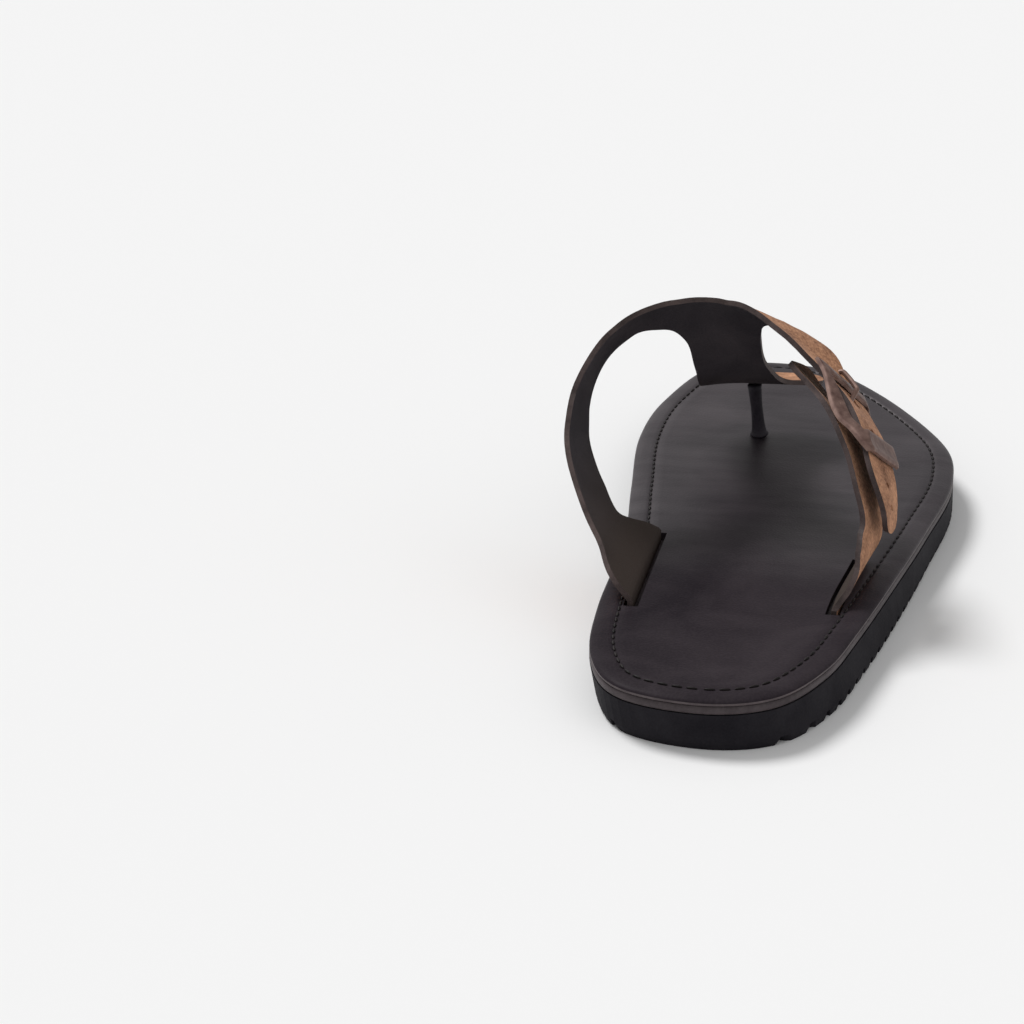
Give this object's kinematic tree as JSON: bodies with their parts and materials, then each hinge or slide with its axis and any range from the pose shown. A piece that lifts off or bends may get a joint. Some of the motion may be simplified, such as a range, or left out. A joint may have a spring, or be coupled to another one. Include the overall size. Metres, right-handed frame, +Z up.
{
  "type": "toe post sandal",
  "caption": "Right foot toe post sandal with a T-shaped suede strap, a side buckle strap, a leather footbed and a rippled rubber sole.",
  "frame": {"origin": "middle of the whole shoe's bounding box in X and Y, on the plane of the underside", "axes": "+Y from heel to toe, +X to the outer side of the right foot, +Z up"},
  "size_m": [0.112, 0.2856, 0.0799],
  "materials": {
    "sole_rubber": "matte",
    "midsole_leather": "satin cut edge",
    "footbed_leather": "slightly glossy",
    "brown_suede": "napped suede, dark lining side",
    "post_leather": "satin",
    "antique_brass": "antiqued, worn bright edges"
  },
  "bodies": {
    "root": {"outsole": "sole_rubber", "midsole": "midsole_leather", "footbed": "footbed_leather", "upper": "brown_suede", "buckle_strap": "brown_suede", "toe_post": "post_leather", "rivet_cap": "antique_brass", "buckle_frame": "antique_brass", "prong": "antique_brass"}
  },
  "joints": []
}
